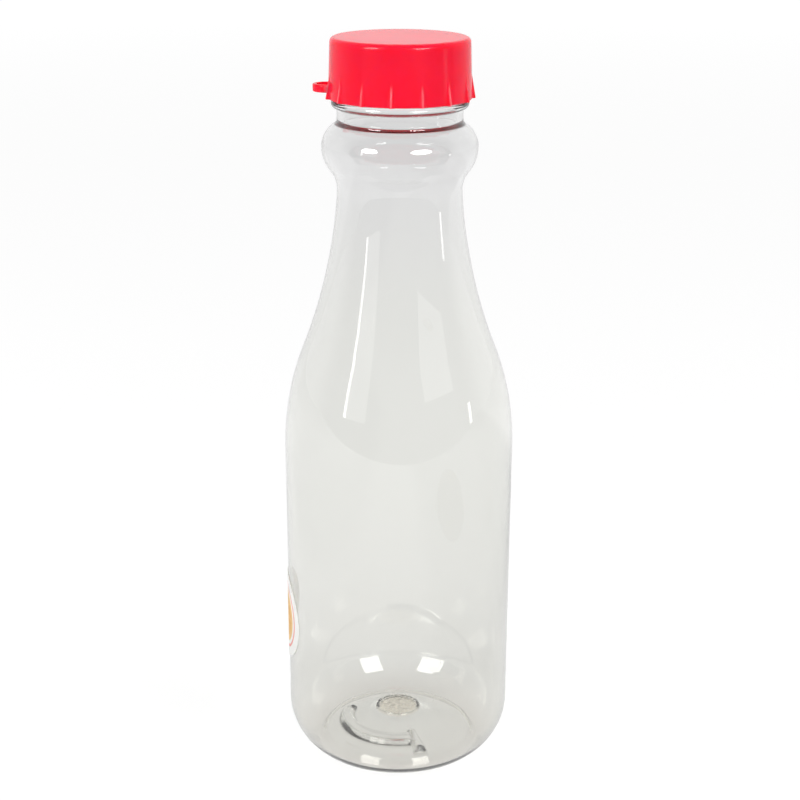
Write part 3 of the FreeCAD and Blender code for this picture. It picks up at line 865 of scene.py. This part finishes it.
def make_pull_ring(material):
    """The open loop on the cap's side, swept along its path."""
    sizes = {
        "Band": RING_BAND, "Height": RING_HEIGHT, "Edge": 0.3,
        "Lift": RING_FOOT + RING_HEIGHT / 2,
    }
    shape = Shape("pull_ring", sizes)
    node = shape.tree.node
    here = node("GeometryNodeInputPosition")
    x = node("ShaderNodeSeparateXYZ", sockets={0: here})
    flat = node(
        "ShaderNodeCombineXYZ", sockets={"X": x, "Y": x.other("Z"), "Z": shape.size("Lift") * MM}
    )
    route = node("GeometryNodeSetPosition", sockets={"Geometry": shape.inputs, "Position": flat})
    count = node("GeometryNodeAttributeDomainSize", {"component": "MESH"}, {0: route})
    beads = node("GeometryNodeMeshLine", sockets={"Count": count})
    place = node(
        "GeometryNodeSampleIndex", {"data_type": "FLOAT_VECTOR", "domain": "POINT"},
        {"Geometry": route, "Value": here, "Index": node("GeometryNodeInputIndex")},
    )
    threaded = node("GeometryNodeSetPosition", sockets={"Geometry": beads, "Position": place})
    curve = node("GeometryNodeMeshToCurve", sockets={0: threaded})
    upright = node("GeometryNodeSetCurveNormal", {"mode": "Z_UP"}, {0: curve})
    section = node(
        "GeometryNodeCurvePrimitiveQuadrilateral",
        sockets={"Width": shape.size("Band") * MM, "Height": shape.size("Height") * MM},
    )
    soft = node(
        "GeometryNodeFilletCurve", {"mode": "POLY"},
        {"Curve": section, "Count": 3, "Radius": shape.size("Edge") * MM},
    )
    swept = node(
        "GeometryNodeCurveToMesh",
        sockets={"Curve": upright, "Profile Curve": soft, "Fill Caps": True},
    )
    shape.finish(swept, material)
    return shape.make("pull_ring", ring_path())


def make_label():
    """The round label, wrapped on the wall."""
    sizes = {
        "Segments": 120, "Label height": LABEL_HEIGHT, "Gap": LABEL_GAP,
        "Wall radius": BODY_RADIUS, "Wall draft": BODY_TAPER, "Wall top": BODY_HEIGHT,
    }
    shape = Shape("wrapped_label", sizes)
    size = shape.size
    grid, across, out, bearing, _ = shape.turned()
    side = across / MM * bearing.math("SINE")
    height = size("Label height") + across / MM * bearing.math("COSINE")
    wall = size("Wall radius") - size("Wall draft") * (size("Wall top") - height)
    reach = (wall + size("Gap") + out / MM) * MM
    turn = (side / wall).math("ARCSINE") + math.radians(LABEL_BEARING)
    shape.finish(shape.placed(grid, reach, height * MM, turn), printed_paper())
    return shape.make("round_label", label_outline())


def join(pieces, name):
    """Makes one piece of several."""
    with bpy.context.temp_override(
        active_object=pieces[0], selected_editable_objects=pieces, selected_objects=pieces,
        object=pieces[0],
    ):
        bpy.ops.object.join()
    pieces[0].name = name
    return pieces[0]


# ---------------------------------------------------------------- studio

def flat_face(name, corners, material):
    """A face of the studio, from its corners in turn."""
    sheet = bpy.data.meshes.new(name)
    sheet.from_pydata(corners, [], [range(len(corners))])
    sheet.materials.append(material)
    return new_object(name, sheet)


def make_table():
    """A white floor; where gloss mirrors it, it ends a little in front of the bottle."""
    material, tree = new_material("table_white")
    node = tree.node
    camera, plastic, turned_back = tree.light_path()
    _, aside, deep, _ = coordinates(tree)
    away = (hypotenuse(aside, deep) / TABLE_FADE).held()
    plain = TABLE_SEEN + (TABLE_FADED - TABLE_SEEN) * away
    dark_right = aside.rise(0.09, edge=0.06) * (1 - deep.rise(0.25, edge=0.1))
    bright_back = deep.rise(0.15, edge=0.3) * turned_back
    mirrored = SEEN_THROUGH * (1 - TABLE_DARK_RIGHT * dark_right)
    mirrored = mirrored + TABLE_BRIGHT_BACK * bright_back
    glow = node("ShaderNodeEmission", sockets={"Strength": camera * plain + plastic * mirrored})
    matt = node("ShaderNodeBsdfDiffuse", sockets={"Color": TABLE_WHITE})
    glowing = camera * TABLE_GLOW[0] + plastic * TABLE_GLOW[1]
    both = node("ShaderNodeMixShader", sockets={0: glowing, 1: matt, 2: glow})
    beyond = deep.math("LESS_THAN", TABLE_FRONT) * turned_back
    clear = node("ShaderNodeBsdfTransparent")
    ended = node("ShaderNodeMixShader", sockets={0: beyond * plastic, 1: both, 2: clear})
    node("ShaderNodeOutputMaterial", sockets={"Surface": ended})
    corners = [(x * TABLE_HALF, y * TABLE_HALF, TABLE_TOP) for x, y in SQUARE]
    piece = flat_face("table", corners, material)


def make_reflector(name, azimuth, half_width, radiance):
    """A white card low in front of the bottle, seen only in the back of the heel."""
    material, tree = new_material(name)
    node = tree.node
    walls = node("ShaderNodeLightPath", output="Transmission Depth")
    back = node("ShaderNodeNewGeometry", output="Backfacing")
    seen = walls.math("GREATER_THAN", BACK_WALL) * (1 - back)
    clear = node("ShaderNodeBsdfTransparent")
    glow = node("ShaderNodeEmission", sockets={"Strength": radiance})
    both = node("ShaderNodeMixShader", sockets={0: seen, 1: clear, 2: glow})
    node("ShaderNodeOutputMaterial", sockets={"Surface": both})
    turn, spread = math.radians(azimuth), math.tan(math.radians(half_width))
    corners = []
    for (away, up), side in ((CARD_FAR, -1), (CARD_NEAR, -1), (CARD_NEAR, 1), (CARD_FAR, 1)):
        aside = side * spread * (away + CARD_FOCUS)
        corners.append((
            math.sin(turn) * away + math.cos(turn) * aside,
            math.sin(turn) * aside - math.cos(turn) * away, up,
        ))
    piece = flat_face(name, corners, material)
    piece.visible_camera = piece.visible_diffuse = piece.visible_shadow = False


def softbox(
    name, azimuth, elevation, width, height, radiance,
    seen="light", distance=1.2, level=0.15, shape="RECTANGLE",
):
    """A lamp that faces the bottle; its azimuth is from the front, rightwards.

    Its place and size are angles in degrees, as the bottle sees it. It is seen as "light" by
    dull surfaces only, or only as a reflection: at the "front" of the bottle, or "through"
    its wall.
    """
    lamp = bpy.data.lights.new(name, "AREA")
    lamp.shape = shape
    lamp.size = 2 * distance * math.tan(math.radians(width / 2))
    lamp.size_y = 2 * distance * math.tan(math.radians(height / 2))
    lamp.energy = WATTS_PER_AREA * lamp.size * lamp.size_y * radiance
    box = new_object(name, lamp)
    turn, lift = math.radians(azimuth), math.radians(elevation)
    middle = Vector((0.0, 0.0, level))
    box.location = middle + distance * Vector((
        math.sin(turn) * math.cos(lift), -math.cos(turn) * math.cos(lift), math.sin(lift),
    ))
    box.rotation_euler = (middle - box.location).to_track_quat("-Z", "Y").to_euler()
    box.visible_camera = False
    box.visible_diffuse = seen == "light"
    box.visible_glossy = box.visible_transmission = seen != "light"
    if seen == "light":
        return
    lamp.use_nodes = True
    lamp.node_tree.nodes.clear()
    tree = Tree(lamp.node_tree)
    walls = tree.node("ShaderNodeLightPath", output="Transmission Depth")
    inside = walls.math("GREATER_THAN", BACK_WALL)
    strength = inside if seen == "through" else 1 - inside
    glow = tree.node("ShaderNodeEmission", sockets={"Strength": strength})
    tree.node("ShaderNodeOutputLight", sockets={"Surface": glow})


def make_room():
    """A pale room that is darker in front of the bottle, as its gloss shows it."""
    world = bpy.data.worlds.new("studio")
    bpy.context.scene.world = world
    world.use_nodes = True
    world.node_tree.nodes.clear()
    tree = Tree(world.node_tree)
    node = tree.node
    way = node("ShaderNodeTexCoord", output="Generated")
    aside = node("ShaderNodeSeparateXYZ", sockets={0: way})
    deep = aside.other("Y")
    level = hypotenuse(aside, deep).math("MAXIMUM", 0.001)
    behind = (deep / level).rise(0.0, edge=0.6)
    mirrored = ROOM_FRONT + (ROOM_BACK - ROOM_FRONT) * behind
    camera, plastic, turned_back = tree.light_path()
    shown = SEEN_THROUGH + (mirrored - SEEN_THROUGH) * turned_back
    lit = (1 - plastic) * ROOM_LIGHT + plastic * shown
    strength = camera * ROOM_SEEN + (1 - camera) * lit
    light = node("ShaderNodeBackground", sockets={"Strength": strength})
    node("ShaderNodeOutputWorld", sockets={"Surface": light})


def make_camera():
    lens = bpy.data.cameras.new("camera")
    lens.lens = LENS
    lens.sensor_width = FILM
    camera = new_object("camera", lens)
    camera.matrix_world = (
        Matrix.Translation(CAMERA_PLACE)
        @ Matrix.Rotation(math.radians(CAMERA_TILT), 4, "X")
        @ Matrix.Rotation(math.radians(CAMERA_ROLL), 4, "Z")
    )
    bpy.context.scene.camera = camera


# ---------------------------------------------------------------- scene

make_camera()
make_room()
at_bulb = {"distance": 0.25, "level": BULB_LEVEL, "shape": "ELLIPSE"}
softbox("left_softbox", -50.0, 38.0, 28.0, 28.0, radiance=6.5)
softbox("right_softbox", 58.0, 38.0, 28.0, 28.0, radiance=5.3)
softbox("left_round", -45.0, 20.5, 24.0, 17.0, radiance=12.0, seen="front", **at_bulb)
softbox("right_round", 31.0, 21.0, 29.0, 17.0, radiance=12.0, seen="front", **at_bulb)
softbox("left_strip", -57.0, 14.0, 3.0, 26.0, radiance=3.0, seen="front")
softbox("right_strip", 77.0, -1.0, 3.0, 7.0, radiance=3.0, seen="front")
softbox("left_glow", -45.0, 14.0, 22.0, 26.0, radiance=0.4, seen="front")
softbox("right_glow", 44.0, 19.0, 34.0, 16.0, radiance=0.4, seen="front")
softbox("left_mid", -39.0, 19.0, 22.0, 4.0, radiance=5.0, seen="through", level=BULB_LEVEL)
softbox("right_mid", 30.0, 19.0, 14.0, 4.0, radiance=5.0, seen="through", level=BULB_LEVEL)
make_reflector("left_reflector", -40.0, 12.0, radiance=6.5)
make_reflector("right_reflector", 33.0, 10.0, radiance=6.5)
make_table()

red = red_plastic()
pieces = {
    "bottle": (make_bottle(), "clear_plastic"),
    "cap": (join([make_cap(red), make_pull_ring(red)], "red_cap"), "red_plastic"),
    "label": (make_label(), "paper"),
}
for node_name, (piece, slot) in pieces.items():
    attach(piece, "root")
    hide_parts(node_name)

bpy.context.scene.view_settings.view_transform = "Standard"
